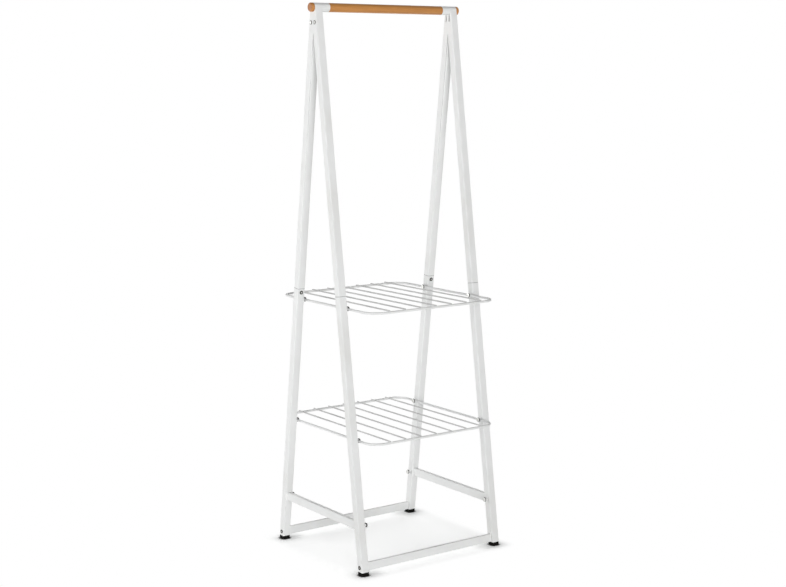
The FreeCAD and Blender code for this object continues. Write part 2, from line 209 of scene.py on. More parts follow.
class RackColours(bpy.types.PropertyGroup):
    """Colours of the finishes, and of the shade painted on some of them."""

    paint: FloatVectorProperty(
        name="Paint", description="Powder coat",
        default=(0.84, 0.845, 0.84), subtype="COLOR", min=0, max=1)
    paint_worn: FloatVectorProperty(
        name="Paint, dull", description="Powder coat where it is handled",
        default=(0.79, 0.79, 0.775), subtype="COLOR", min=0, max=1)
    # Painted shade: the wires are coloured greyer than the loop to stand in for the shading of their thin
    # round sides.
    paint_thin: FloatVectorProperty(
        name="Paint, thin", description="Powder coat on the wires",
        default=(0.62, 0.62, 0.615), subtype="COLOR", min=0, max=1)
    # Painted shade: this dark colour is laid inside the open tubes and along the leg seams, where shade
    # falls.
    paint_crevice: FloatVectorProperty(
        name="Paint, crevices", description="Inside the tubes and in the leg seams",
        default=(0.12, 0.118, 0.115), subtype="COLOR", min=0, max=1)
    wood_light: FloatVectorProperty(
        name="Early wood", description="Wood between the grain lines",
        default=(0.60, 0.272, 0.075), subtype="COLOR", min=0, max=1)
    wood_dark: FloatVectorProperty(
        name="Late wood", description="Grain lines",
        default=(0.42, 0.165, 0.038), subtype="COLOR", min=0, max=1)
    wood_end: FloatVectorProperty(
        name="End grain", description="Cut ends of the wood",
        default=(0.385, 0.14, 0.026), subtype="COLOR", min=0, max=1)
    rubber: FloatVectorProperty(
        name="Rubber", description="Feet",
        default=(0.003, 0.0025, 0.002), subtype="COLOR", min=0, max=1)
    plastic: FloatVectorProperty(
        name="Plastic", description="Collars",
        default=(0.010, 0.010, 0.010), subtype="COLOR", min=0, max=1)
    zinc: FloatVectorProperty(
        name="Zinc", description="Screws",
        default=(0.70, 0.70, 0.68), subtype="COLOR", min=0, max=1)
    # Painted shade: a dark ring round the heads of the frame screws, standing in for the shade and dark
    # reflections round them.
    zinc_crevice: FloatVectorProperty(
        name="Zinc, crevices", description="Painted_rim_shade round the screw heads",
        default=(0.035, 0.033, 0.030), subtype="COLOR", min=0, max=1)
    floor: FloatVectorProperty(
        name="Floor", description="Studio floor",
        default=(0.88, 0.89, 0.885), subtype="COLOR", min=0, max=1)


class RackStage(bpy.types.PropertyGroup):
    """Camera and studio light."""

    camera: FloatVectorProperty(
        name="Camera", description="Place of the camera",
        default=(-2.97332, -4.21354, 1.65687), subtype="XYZ", unit="LENGTH")
    yaw: FloatProperty(
        name="Yaw", description="Turn of the view from +Y", default=math.radians(-35.439), subtype="ANGLE")
    pitch: FloatProperty(
        name="Pitch", description="Tilt of the view", default=math.radians(-8.332), subtype="ANGLE")
    roll: FloatProperty(
        name="Roll", description="Turn of the picture", default=math.radians(-0.252), subtype="ANGLE")
    focal_pixels: FloatProperty(
        name="Focal length", description="Focal length in picture pixels", default=1481.65)
    left_light: FloatProperty(
        name="Left light", description="Power of the large lamp on the left",
        default=140.0, subtype="POWER")
    front_light: FloatProperty(
        name="Front light", description="Power of the large lamp near the camera",
        default=890.0, subtype="POWER")
    rear_light: FloatProperty(
        name="Rear light", description="Power of the large lamp behind the rack",
        default=640.0, subtype="POWER")
    ambient: FloatProperty(
        name="Ambient", description="Strength of the light from all round, at the horizon", default=0.12)
    ambient_overhead: FloatProperty(
        name="Ambient, overhead", description="Strength of the light from straight above", default=0.16)
    floor_glow: FloatProperty(
        name="Floor glow", description="Light that the floor adds towards the camera under the rack",
        default=0.56)
    floor_bounce: FloatProperty(
        name="Floor bounce", description="Light that the floor adds towards the rack", default=0.14)
    # Painted shadow: the floor patch under the rack is darker than the white round it, standing in for the
    # rack's soft shadow.
    floor_patch: FloatVectorProperty(
        name="Floor patch", description="Half width and half depth of the floor shown under the rack",
        size=2, default=(0.30, 0.27), unit="LENGTH")
    floor_fade: FloatProperty(
        name="Floor fade", description="Part of the floor patch over which it fades to white", default=0.16)
    halo_reach: FloatProperty(
        name="Halo reach", description="How far the rack darkens the floor round its feet",
        default=0.08, unit="LENGTH")
    halo_depth: FloatProperty(
        name="Halo depth", description="How strongly the rack darkens the floor round its feet",
        default=2.6)
    contact_reach: FloatProperty(
        name="Contact reach", description="How far the feet blacken the floor that they touch",
        default=0.010, unit="LENGTH")
    contact_depth: FloatProperty(
        name="Contact depth", description="How strongly the feet blacken the floor that they touch",
        default=5.0)


def sizes():
    return bpy.context.scene.rack_sizes


def colours():
    return bpy.context.scene.rack_colours


def staging():
    return bpy.context.scene.rack_stage


def opaque(colour):
    return (colour[0], colour[1], colour[2], 1.0)


def made_once(blocks, name):
    """Decorator for the maker of a named material or node tree: made at first, found afterwards."""
    def wrap(make):
        @wraps(make)
        def find():
            return getattr(bpy.data, blocks).get(name) or make(name)
        return find
    return wrap


def add_object(name, data):
    obj = bpy.data.objects.new(name, data)
    bpy.context.scene.collection.objects.link(obj)
    return obj


def discard(*objects):
    """Take away the patterns that a geometry tree has copied."""
    for obj in objects:
        mesh = obj.data
        bpy.data.objects.remove(obj)
        bpy.data.meshes.remove(mesh)


def finish_piece(obj, node):
    """Hang a finished piece on the rack in place of its solids."""
    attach(obj, BODY)
    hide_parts(node)


def plain(obj, name):
    """Turn an object with modifiers into a plain mesh object of the given name."""
    bpy.context.view_layer.update()
    graph = bpy.context.evaluated_depsgraph_get()
    mesh = bpy.data.meshes.new_from_object(
        obj.evaluated_get(graph), preserve_all_data_layers=True, depsgraph=graph)
    if not mesh.polygons:
        raise RuntimeError(f"{name} has no faces")
    discard(obj)
    mesh.name = name
    return add_object(name, mesh)


# Materials


class NodeSheet:
    """Places and links the nodes of one tree."""

    def __init__(self, tree):
        self.tree = tree

    def wire(self, source, target):
        """Link an output, or a node's first one, to a socket, or set the socket to a plain value."""
        if isinstance(source, bpy.types.Node):
            source = source.outputs[0]
        if isinstance(source, bpy.types.NodeSocket):
            self.tree.links.new(source, target)
        else:
            target.default_value = source

    def add(self, kind, inputs=None, **settings):
        """New node with its settings, and its inputs wired by name or number."""
        node = self.tree.nodes.new(kind)
        for name, value in settings.items():
            setattr(node, name, value)
        for key, value in (inputs or {}).items():
            self.wire(value, node.inputs[key])
        return node

    def place(self):
        return self.add("ShaderNodeTexCoord").outputs["Object"]

    def attribute(self, name):
        """Mask that the mesh itself carries."""
        return self.add("ShaderNodeAttribute", attribute_name=name).outputs["Fac"]

    def math(self, operation, *values):
        return self.add("ShaderNodeMath", dict(enumerate(values)), operation=operation).outputs[0]

    def vary(self, value, low, high):
        """Spread a 0 to 1 value between two levels."""
        return self.math("MULTIPLY_ADD", value, high - low, low)

    def ramp(self, value, low, high):
        inputs = {"Value": value, "From Min": low, "From Max": high}
        return self.add("ShaderNodeMapRange", inputs, interpolation_type="SMOOTHSTEP").outputs["Result"]

    def noise(self, place, scale, detail=2.0, roughness=0.5):
        inputs = {"Vector": place, "Scale": scale, "Detail": detail, "Roughness": roughness}
        return self.add("ShaderNodeTexNoise", inputs).outputs["Fac"]

    def join(self, **parts):
        """Vector from X, Y and Z."""
        return self.add("ShaderNodeCombineXYZ", parts).outputs[0]

    def split(self, vector):
        """X, Y and Z of a vector."""
        return self.add("ShaderNodeSeparateXYZ", {0: vector}).outputs

    def distance(self, first, second):
        """Length of the long side of a right angle."""
        corner = self.join(X=first, Y=second)
        return self.add("ShaderNodeVectorMath", {0: corner}, operation="LENGTH").outputs["Value"]

    def mix_colour(self, factor, first, second):
        node = self.add("ShaderNodeMix", {0: factor}, data_type="RGBA")
        for number, value in ((6, first), (7, second)):
            linked = isinstance(value, bpy.types.NodeSocket)
            self.wire(value if linked else opaque(value), node.inputs[number])
        return node.outputs[2]


@made_once("node_groups", "Handling")
def handling_group(name):
    """Shader group: a soft uneven mask for handled surfaces, and a fine grain for their texture."""
    tree = bpy.data.node_groups.new(name, "ShaderNodeTree")
    for label, default in (("Patch Scale", 6.0), ("Grain Scale", 900.0)):
        socket = tree.interface.new_socket(label, in_out="INPUT", socket_type="NodeSocketFloat")
        socket.default_value = default
    for label in ("Patches", "Grain"):
        tree.interface.new_socket(label, in_out="OUTPUT", socket_type="NodeSocketFloat")
    sheet = NodeSheet(tree)
    given = sheet.add("NodeGroupInput").outputs
    place = sheet.place()
    patches = sheet.ramp(sheet.noise(place, given["Patch Scale"], detail=4.0), 0.45, 0.75)
    grain = sheet.noise(place, given["Grain Scale"])
    sheet.add("NodeGroupOutput", {"Patches": patches, "Grain": grain})
    return tree


def handled(sheet, patch_scale, grain_scale):
    """Patches and grain of a handled surface."""
    scales = {"Patch Scale": patch_scale, "Grain Scale": grain_scale}
    node = sheet.add("ShaderNodeGroup", scales, node_tree=handling_group())
    return node.outputs["Patches"], node.outputs["Grain"]


def new_material(name):
    material = bpy.data.materials.new(name)
    material.use_nodes = True
    return material, NodeSheet(material.node_tree)


def finished(material, sheet, inputs, height, relief):
    """Feed a material's shader its inputs, and a height that is relief metres deep."""
    shader = material.node_tree.nodes["Principled BSDF"]
    bump = sheet.add("ShaderNodeBump", {"Strength": 1.0, "Distance": relief, "Height": height})
    for name, value in {**inputs, "Normal": bump.outputs["Normal"]}.items():
        sheet.wire(value, shader.inputs[name])
    return material


@made_once("materials", "powder_coat")
def powder_coat(name):
    """White powder coat: a satin skin with the slight orange peel of baking, with painted shade: greyer on
    the wires, dark inside the tubes and in the leg seams.
    """
    material, sheet = new_material(name)
    patches, grain = handled(sheet, patch_scale=5.0, grain_scale=700.0)
    full = sheet.mix_colour(patches, colours().paint, colours().paint_worn)
    coat = sheet.mix_colour(sheet.attribute("thin_coat"), full, colours().paint_thin)
    return finished(material, sheet, {
        "Base Color": sheet.mix_colour(sheet.attribute("crevice"), coat, colours().paint_crevice),
        "Roughness": sheet.vary(grain, 0.52, 0.66),
        "Specular IOR Level": 0.25,
    }, height=grain, relief=0.00006)


@made_once("materials", "varnished_wood")
def varnished_wood(name):
    """Turned wood: rings round a pith outside the rod, pores along it, and a satin varnish."""
    material, sheet = new_material(name)
    pith = (0.0, 0.021, 0.034 - middle(ROD[2]))
    rings_per_metre = 340.0
    sway_reach = 0.011
    centred = sheet.add("ShaderNodeMapping", {"Vector": sheet.place(), "Location": pith})
    slow = sheet.add("ShaderNodeMapping", {"Vector": centred, "Scale": (0.06, 1.0, 1.0)})
    stretched = sheet.add("ShaderNodeMapping", {"Vector": centred, "Scale": (0.035, 1.0, 1.0)})
    parts = sheet.split(centred)
    sway = sheet.noise(slow, 38.0, detail=3.0)
    bent = sheet.math("MULTIPLY_ADD", sway, sway_reach, sheet.distance(parts["Y"], parts["Z"]))
    ring = sheet.math("FRACT", sheet.math("MULTIPLY", bent, rings_per_metre))
    late = sheet.math("POWER", ring, 2.2)
    streaks = sheet.noise(slow, 160.0, detail=4.0)
    tone = sheet.math("MULTIPLY_ADD", late, 0.55, sheet.math("MULTIPLY", streaks, 0.55))
    base = sheet.mix_colour(sheet.ramp(tone, 0.15, 0.95), colours().wood_light, colours().wood_dark)
    facing = sheet.split(sheet.add("ShaderNodeNewGeometry").outputs["Normal"])
    cut = sheet.ramp(sheet.math("ABSOLUTE", facing["X"]), 0.3, 0.95)
    ended = sheet.mix_colour(cut, base, colours().wood_end)
    pores = sheet.ramp(sheet.noise(stretched, 1500.0, detail=3.0, roughness=0.6), 0.60, 0.72)
    patches, grain = handled(sheet, patch_scale=9.0, grain_scale=1400.0)
    return finished(material, sheet, {
        "Base Color": sheet.mix_colour(sheet.math("MULTIPLY", pores, 0.45), ended, PORE_COLOUR),
        "Roughness": sheet.math("MULTIPLY_ADD", pores, 0.15, sheet.vary(patches, 0.34, 0.46)),
        "Specular IOR Level": 0.35,
    }, height=sheet.math("MULTIPLY_ADD", pores, -0.7, sheet.math("MULTIPLY", grain, 0.25)), relief=0.00008)


def moulded(name, colour, dust, scales, roughness, specular, relief):
    """Moulded skin with a little dust and a fine texture."""
    material, sheet = new_material(name)
    patches, grain = handled(sheet, *scales)
    return finished(material, sheet, {
        "Base Color": sheet.mix_colour(sheet.math("MULTIPLY", patches, 0.2), colour, dust),
        "Roughness": sheet.vary(grain, *roughness),
        "Specular IOR Level": specular,
    }, grain, relief)


@made_once("materials", "black_rubber")
def black_rubber(name):
    """Black rubber with a dull, slightly dusty skin."""
    return moulded(name, colours().rubber, RUBBER_DUST, scales=(60.0, 1600.0), roughness=(0.80, 0.95),
                   specular=0.15, relief=0.0001)


@made_once("materials", "black_plastic")
def black_plastic(name):
    """Black moulded plastic with a fine spark-eroded texture."""
    return moulded(name, colours().plastic, PLASTIC_DUST, scales=(80.0, 2600.0), roughness=(0.40, 0.58),
                   specular=0.25, relief=0.00005)


@made_once("materials", "zinc_steel")
def zinc_steel(name):
    """Zinc-plated steel, cloudy and a little brushed, with painted shade, dark and not metallic, where the
    mesh says so.
    """
    material, sheet = new_material(name)
    patches, grain = handled(sheet, patch_scale=240.0, grain_scale=3200.0)
    plating = sheet.mix_colour(sheet.math("MULTIPLY", patches, 0.5), colours().zinc, ZINC_CLOUD)
    # Painted shade: where the mesh is marked, the zinc turns dark, rougher and not metallic.
    rim_shade = sheet.attribute("crevice")
    return finished(material, sheet, {
        "Base Color": sheet.mix_colour(rim_shade, plating, colours().zinc_crevice),
        "Roughness": sheet.math("MULTIPLY_ADD", rim_shade, 0.3, sheet.vary(grain, 0.26, 0.44)),
        "Metallic": sheet.math("SUBTRACT", 1.0, rim_shade),
        "Specular IOR Level": 0.1,
    }, height=grain, relief=0.00003)


# Meshes


def ring_radius(radius, angle):
    """Radius of a ring at an angle; a negative radius stands for a hexagon of that half width."""
    if radius >= 0:
        return radius
    sixth = math.pi / 3
    return -radius / math.cos((angle % sixth) - sixth / 2)


def lathe(rings, segments, closed_profile=False):
    """Solid of revolution about Z through (radius, height) rings; a zero radius closes an end."""
    form = bmesh.new()
    loops = []
    for radius, height in rings:
        if radius == 0:
            loops.append([form.verts.new((0, 0, height))])
            continue
        loop = []
        for i in range(segments):
            angle = 2 * math.pi * i / segments
            reach = ring_radius(radius, angle)
            loop.append(form.verts.new((reach * math.cos(angle), reach * math.sin(angle), height)))
        loops.append(loop)
    pairs = list(zip(loops, loops[1:]))
    if closed_profile:
        pairs.append((loops[-1], loops[0]))
    for low, high in pairs:
        for i in range(segments):
            j = (i + 1) % segments
            if len(low) == 1:
                form.faces.new((low[0], high[j], high[i]))
            elif len(high) == 1:
                form.faces.new((low[i], low[j], high[0]))
            else:
                form.faces.new((low[i], low[j], high[j], high[i]))
    bmesh.ops.recalc_face_normals(form, faces=form.faces)
    mesh = bpy.data.meshes.new("lathe")
    form.to_mesh(mesh)
    form.free()
    mesh.shade_smooth()
    mesh.set_sharp_from_angle(angle=CREASE_ANGLE)
    return mesh


def rounded(radius, height, size, steps):
    """Quarter-round of ring points at an edge, from the wall round to the face."""
    points = []
    for i in range(steps + 1):
        angle = math.pi / 2 * i / steps
        points.append((radius - size * (1 - math.cos(angle)), height - size * (1 - math.sin(angle))))
    return points


def mark_painted_shade(form):
    """Store on a mesh's points where it is out of sight or at a leg seam, as a mask of painted shade for
    its material.
    """
    layer = form.verts.layers.float.new("crevice")
    form.normal_update()
    inside = BVHTree.FromBMesh(form)
    for face in form.faces:
        start = face.calc_center_median() + face.normal * TOUCHING
        if inside.ray_cast(start, face.normal, INSIDE_REACH)[0] is not None:
            for vert in face.verts:
                vert[layer] = 1.0
    for vert in form.verts:
        at_seam = abs(vert.co.z - SEAM) < SEAM_REACH
        if at_seam and all(edge.calc_length() < LONG_EDGE for edge in vert.link_edges):
            vert[layer] = 1.0


def round_edges(form, edges, size, steps):
    bmesh.ops.bevel(form, geom=edges, offset=size, offset_type="OFFSET", segments=steps, profile=0.5,
                    affect="EDGES", clamp_overlap=True)


def softened(node, name, material, edge, base_edge=0.0, open_tube=False):
    """Copy of a solid with its cut edges rounded, and an open tube marked for painted shade where it is
    dark.
    """
    form = bmesh.new()
    form.from_mesh(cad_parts[node].data)
    bmesh.ops.remove_doubles(form, verts=form.verts, dist=SAME_POINT)
    bmesh.ops.dissolve_limit(form, angle_limit=FLAT_ANGLE, verts=form.verts, edges=form.edges)
    if base_edge:
        low = min(v.co.z for v in form.verts)
        rim = [e for e in form.edges if all(v.co.z < low + TOUCHING for v in e.verts)]
        round_edges(form, rim, base_edge, steps=4)
    sharp = [e for e in form.edges if len(e.link_faces) == 2 and e.calc_face_angle() > SHARP_ANGLE]
    seam = [e for e in sharp if all(abs(v.co.z - SEAM) < SEAM_REACH for v in e.verts)]
    rest = [e for e in sharp if e not in seam]
    round_edges(form, seam, sizes().seam_edge, steps=3)
    round_edges(form, rest, edge, steps=2)
    # Painted shade: an open tube's inside and its seam edges are marked dark for the paint.
    if open_tube:
        mark_painted_shade(form)
    mesh = bpy.data.meshes.new(name)
    form.to_mesh(mesh)
    form.free()
    mesh.shade_smooth()
    mesh.materials.append(material)
    obj = add_object(name + "_draft", mesh)
    normals = obj.modifiers.new("Normals", "WEIGHTED_NORMAL")
    normals.weight = 100
    normals.keep_sharp = True
    return plain(obj, name)


def screw_mesh(length, head_width, unshaded_width):
    """Flat-headed socket screw on Z, head upwards from Z = 0, marked for painted shade outside the unshaded
    width.
    """
    s = sizes()
    head, top, shank, flat = head_width / 2, s.head_height, s.shank / 2, s.socket / 2
    mesh = lathe([
        (0, -length), (shank - TIP_CHAMFER, -length), (shank, -length + TIP_CHAMFER), (shank, 0.0),
        (head - HEAD_EDGE, 0.0), (head, HEAD_EDGE), *rounded(head, top, HEAD_SOFTNESS, steps=5),
        (flat * SOCKET_RIM, top), (-(flat + SOCKET_WIDENING), top), (-flat, top - SOCKET_MOUTH),
        (-flat, top - SOCKET_DEPTH), (0, top - SOCKET_POINT),
    ], SMALL_SEGMENTS)
    # Painted shade: points outside the unshaded width are marked for a dark ring.
    crevice = mesh.attributes.new("crevice", "FLOAT", "POINT")
    for vertex, item in zip(mesh.vertices, crevice.data):
        item.value = float(vertex.co.to_2d().length > unshaded_width / 2 + ON_RING)
    return mesh


def ring_mesh(diameter, hole, length, edge):
    """Ring on Z from 0 to a length, with rounded outer edges."""
    outside, inside = diameter / 2, hole / 2
    corner = rounded(outside, length, edge, steps=4)
    rings = [(inside, length), (inside, 0.0), *((r, length - z) for r, z in reversed(corner)), *corner]
    return lathe(rings, SMALL_SEGMENTS, closed_profile=True)


# Geometry nodes


def new_tree(name, inputs):
    """Geometry tree with named inputs, and what it is given through them."""
    tree = bpy.data.node_groups.new(name, "GeometryNodeTree")
    for label, kind in (("Geometry", "Geometry"), *inputs):
        tree.interface.new_socket(label, in_out="INPUT", socket_type="NodeSocket" + kind)
    tree.interface.new_socket("Geometry", in_out="OUTPUT", socket_type="NodeSocketGeometry")
    sheet = NodeSheet(tree)
    return tree, sheet, sheet.add("NodeGroupInput").outputs


def scatter(sheet, given, piece):
    """Instances of an object on the tree's points, aimed by their aim attribute and turned at random."""
    info = sheet.add("GeometryNodeObjectInfo", {"Object": given[piece]})
    aim = sheet.add("GeometryNodeInputNamedAttribute", {"Name": "aim"}, data_type="FLOAT_VECTOR")
    align = sheet.add(
        "FunctionNodeAlignRotationToVector", {"Vector": aim.outputs["Attribute"]}, axis="Z")
    chance = sheet.add("FunctionNodeRandomValue", {"Seed": given["Seed"]}, data_type="FLOAT")
    limits = [s for s in chance.inputs if s.type == "VALUE" and s.enabled]
    for socket, limit in zip(limits, (0.0, 2 * math.pi)):
        socket.default_value = limit
    angle = [s for s in chance.outputs if s.type == "VALUE" and s.enabled][0]
    roll = sheet.add("FunctionNodeAxisAngleToRotation", {"Axis": (0, 0, 1), "Angle": angle})
    turn = sheet.add("FunctionNodeRotateRotation", {0: align, 1: roll}, rotation_space="LOCAL")
    return sheet.add("GeometryNodeInstanceOnPoints", {
        "Points": given["Geometry"], "Instance": info.outputs["Geometry"], "Rotation": turn})


def end_tree(sheet, given, geometry):
    """Realize what a tree made and give it its material."""
    real = sheet.add("GeometryNodeRealizeInstances", {0: geometry})
    painted = sheet.add("GeometryNodeSetMaterial", {"Geometry": real, "Material": given["Material"]})
    sheet.add("NodeGroupOutput", {0: painted})


@made_once("node_groups", "Fasteners")
def scatter_tree(name):
    """Geometry tree that sets one small piece on every point."""
    tree, sheet, given = new_tree(name, (("Piece", "Object"), ("Seed", "Int"), ("Material", "Material")))
    end_tree(sheet, given, scatter(sheet, given, "Piece"))
    return tree


@made_once("node_groups", "Wire shelf")
def shelf_tree(name):
    """Geometry tree for a wire shelf: rod loop, wires with rounded ends, and eyes on its points."""
    numbers = ("Height", "Width", "Depth", "Corner", "Rod", "Wire", "Wire Length", "Wire Height", "Pitch")
    tree, sheet, given = new_tree(name, (
        *((label, "Float") for label in numbers),
        ("Wires", "Int"), ("Eye", "Object"), ("Seed", "Int"), ("Material", "Material")))

    outline = sheet.add("GeometryNodeCurvePrimitiveQuadrilateral", {
        "Width": given["Width"], "Height": given["Depth"]}, mode="RECTANGLE")
    bends = sheet.add("GeometryNodeFilletCurve", {
        "Curve": outline, "Radius": given["Corner"], "Count": 20}, mode="POLY")
    section = sheet.add("GeometryNodeCurvePrimitiveCircle", {
        "Resolution": 28, "Radius": sheet.math("MULTIPLY", given["Rod"], 0.5)}, mode="RADIUS")
    loop = sheet.add("GeometryNodeCurveToMesh", {"Curve": bends, "Profile Curve": section})
    raised = sheet.add("GeometryNodeTransform", {
        "Geometry": loop, "Translation": sheet.join(Z=given["Height"])})

    # A wire is a ball laid along Y, whose halves are blunted and drawn apart
    ball = sheet.add("GeometryNodeMeshUVSphere", {
        "Segments": 24, "Rings": 14, "Radius": sheet.math("MULTIPLY", given["Wire"], 0.5)})
    laid = sheet.add("GeometryNodeTransform", {"Geometry": ball, "Rotation": (math.pi / 2, 0, 0)})
    spot = sheet.split(sheet.add("GeometryNodeInputPosition"))
    end = sheet.math("MULTIPLY", given["Wire"], -0.5 * WIRE_BLUNTNESS)
    reach = sheet.math("MULTIPLY_ADD", given["Wire Length"], 0.5, end)
    moved = sheet.math("MULTIPLY", sheet.math("SIGN", spot["Y"]), reach)
    along = sheet.math("MULTIPLY_ADD", spot["Y"], WIRE_BLUNTNESS, moved)
    drawn = sheet.add("GeometryNodeSetPosition", {
        "Geometry": laid, "Position": sheet.join(X=spot["X"], Y=along, Z=spot["Z"])})
    # Painted shade: the wires are marked for the greyer paint that stands in for their shading.
    shaded = sheet.add("GeometryNodeStoreNamedAttribute", {
        "Geometry": drawn, "Name": "thin_coat", "Value": 1.0}, data_type="FLOAT", domain="POINT")
    half_row = sheet.math("MULTIPLY", sheet.math("SUBTRACT", given["Wires"], 1.0), -0.5)
    first = sheet.join(X=sheet.math("MULTIPLY", half_row, given["Pitch"]), Z=given["Wire Height"])
    row = sheet.add("GeometryNodeMeshLine", {
        "Count": given["Wires"], "Start Location": first, "Offset": sheet.join(X=given["Pitch"])},
        mode="OFFSET")
    wires = sheet.add("GeometryNodeInstanceOnPoints", {"Points": row, "Instance": shaded})

    joined = sheet.add("GeometryNodeJoinGeometry")
    for part in (raised, wires, scatter(sheet, given, "Eye")):
        sheet.wire(part, joined.inputs[0])
    end_tree(sheet, given, sheet.add("GeometryNodeSetShadeSmooth", {"Geometry": joined}))
    return tree


def from_tree(name, tree, points, aims, **values):
    """Plain mesh piece that a geometry tree makes from points with aims."""
    mesh = bpy.data.meshes.new(name + "_points")
    mesh.from_pydata([tuple(p) for p in points], [], [])
    attribute = mesh.attributes.new("aim", "FLOAT_VECTOR", "POINT")
    for item, aim in zip(attribute.data, aims):
        item.vector = aim
    obj = add_object(name + "_draft", mesh)
    modifier = obj.modifiers.new("Tree", "NODES")
    modifier.node_group = tree
    for item in tree.interface.items_tree:
        key = item.name.lower().replace(" ", "_")
        if item.in_out == "INPUT" and key in values:
            modifier[item.identifier] = values[key]
    piece = plain(obj, name)
    for attribute in [a for a in piece.data.attributes if a.name == "aim"]:
        piece.data.attributes.remove(attribute)
    return piece


def fasten(node, making, pattern, points, aims, seed, material):
    """Copies of a small pattern in place of a node's solids, named for the node and its making."""
    copies = from_tree(
        f"{node}_{making}", scatter_tree(), points, aims, piece=pattern, seed=seed, material=material)
    finish_piece(copies, node)


def at_legs(x, y, z, outwards):
    """Points at the four legs, mirrored from one, and their aims, outwards or (with -1) inwards."""
    points = [(side * x, end * y, z) for _, side in SIDES for _, end in ENDS]
    aims = [(side * outwards, 0, 0) for _, side in SIDES for _ in ENDS]
    return points, aims


def peg_places(node):
    """Points on the pegs at the face of a part that lies towards the leg, and their aims."""
    x, y, z = spans(node)
    return at_legs(x[1], middle(y), middle(z), -1)


# Operators


class RACK_OT_tubes(bpy.types.Operator):
    """Painted tubes: legs, hubs, crossbars and rails"""

    bl_idname = "rack.tubes"
    bl_label = "Painted tubes"

    def execute(self, context):
        hubs = [f"{side}_hub" for side, _ in SIDES]
        tubes = [f"{side}_crossbar" for side, _ in SIDES]
        tubes += [f"{leg}_{part}_leg" for leg in LEGS for part in ("upper", "lower")]
        tubes += [f"{end}_rail" for end, _ in ENDS]
        for node in hubs + tubes:
            piece = softened(
                node, node + "_painted", powder_coat(), sizes().paint_edge, open_tube=node in tubes)
            finish_piece(piece, node)
        return {"FINISHED"}


class RACK_OT_joint_tubes(bpy.types.Operator):
    """Plain steel tubes inside the leg seams"""

    bl_idname = "rack.joint_tubes"
    bl_label = "Joint tubes"

    def execute(self, context):
        for leg in LEGS:
            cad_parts[f"{leg}_joint_tube"].material_slots[0].material = zinc_steel()
        return {"FINISHED"}


class RACK_OT_rod(bpy.types.Operator):
    """Turned wooden rod, and the caps that close the sleeves"""

    bl_idname = "rack.rod"
    bl_label = "Wooden rod"

    def execute(self, context):
        s = sizes()
        height, radius, tenon = middle(ROD[2]), width(ROD[2]) / 2, s.tenon / 2
        (shoulder, face), tip = SLEEVE[0], ROD[0][1]
        half = rounded(radius, shoulder, ROD_EDGE, steps=3) + [(tenon, shoulder), (tenon, tip), (0, tip)]
        mesh = lathe([(r, -z) for r, z in reversed(half)] + half, ROD_SEGMENTS)
        mesh.transform(Matrix.Translation((0, 0, height)) @ Matrix.Rotation(math.pi / 2, 4, "Y"))
        mesh.materials.append(varnished_wood())
        finish_piece(add_object("hanging_rod_turned", mesh), "hanging_rod")
        plug, head = CAP[0][0] - face, CAP[0][1] - face
        rings = [(0, plug), (tenon, plug), (tenon, 0.0), (radius - ROD_EDGE, 0.0), (radius, ROD_EDGE)]
        rings += rounded(radius, head, s.cap_rounding, steps=8) + [(0, head)]
        cap = add_object("cap_pattern", lathe(rings, ROD_SEGMENTS))
        points = [(side * face, 0, height) for _, side in SIDES]
        aims = [(side, 0, 0) for _, side in SIDES]
        fasten("rod_caps", "turned", cap, points, aims, CAP_SEED, varnished_wood())
        discard(cap)
        return {"FINISHED"}


class RACK_OT_shelves(bpy.types.Operator):
    """Wire shelves with their screw eyes"""

    bl_idname = "rack.shelves"
    bl_label = "Wire shelves"

    def execute(self, context):
        s = sizes()
        leg_face = LEG[0][0]
        eye = add_object("eye_pattern", ring_mesh(s.eye, s.shank, leg_face - COLLAR[0][1], EYE_EDGE))
        for number, level in enumerate(("upper", "lower")):
            node = f"{level}_shelf"
            collar = spans(f"{node}_collars")
            height = middle(collar[2])
            depth = 2 * (spans(node)[1][1] - s.shelf_rod / 2)
            points, aims = at_legs(leg_face, middle(collar[1]), height, -1)
            shelf = from_tree(
                f"{node}_welded", shelf_tree(), points, aims,
                height=height, width=2 * (COLLAR[0][1] + s.eye_face + s.shelf_rod / 2), depth=depth,
                corner=s.shelf_corner, rod=s.shelf_rod,
                wire=s.wire, wire_length=depth + 2 * s.wire_overhang,
                wire_height=height + s.shelf_rod / 2 + s.wire / 2 - s.weld_depth,
                pitch=s.wire_pitch, wires=s.wire_count, eye=eye, seed=number, material=powder_coat())
            finish_piece(shelf, node)
        discard(eye)
        return {"FINISHED"}


class RACK_OT_feet(bpy.types.Operator):
    """Black rubber feet"""

    bl_idname = "rack.feet"
    bl_label = "Feet"

    def execute(self, context):
        for leg in LEGS:
            node = f"{leg}_foot"
            foot = softened(node, node + "_moulded", black_rubber(), FOOT_EDGE, sizes().foot_rounding)
            finish_piece(foot, node)
        return {"FINISHED"}


class RACK_OT_pegs(bpy.types.Operator):
    """Collars, spacers and screws on the inner sides of the legs"""

    bl_idname = "rack.pegs"
    bl_label = "Shelf pegs"

    def execute(self, context):
        s = sizes()
        seat = PEG_SCREW[0][0] + s.head_height
        length = width(PEG_SCREW[0]) - s.head_height
        collar = add_object(
            "collar_pattern", ring_mesh(width(COLLAR[2]), s.shank, width(COLLAR[0]), COLLAR_EDGE))
        spacer = add_object("spacer_pattern", ring_mesh(s.eye, s.shank, width(SPACER[0]), EYE_EDGE))
        screw = add_object("peg_screw_pattern", screw_mesh(length, s.peg_head, unshaded_width=s.peg_head))
        for number, level in enumerate(PEG_LEVELS):
            points, aims = peg_places(f"{level}_collars")
            fasten(f"{level}_collars", "moulded", collar, points, aims,
                   COLLAR_SEED + number, black_plastic())
            points = [(math.copysign(seat, p[0]), p[1], p[2]) for p in points]
            fasten(f"{level}_screws", "plated", screw, points, aims,
                   PEG_SCREW_SEED + number, zinc_steel())
        points, aims = peg_places("crossbar_spacers")
        fasten("crossbar_spacers", "painted", spacer, points, aims,
               SPACER_SEED, powder_coat())
        discard(collar, spacer, screw)
        return {"FINISHED"}


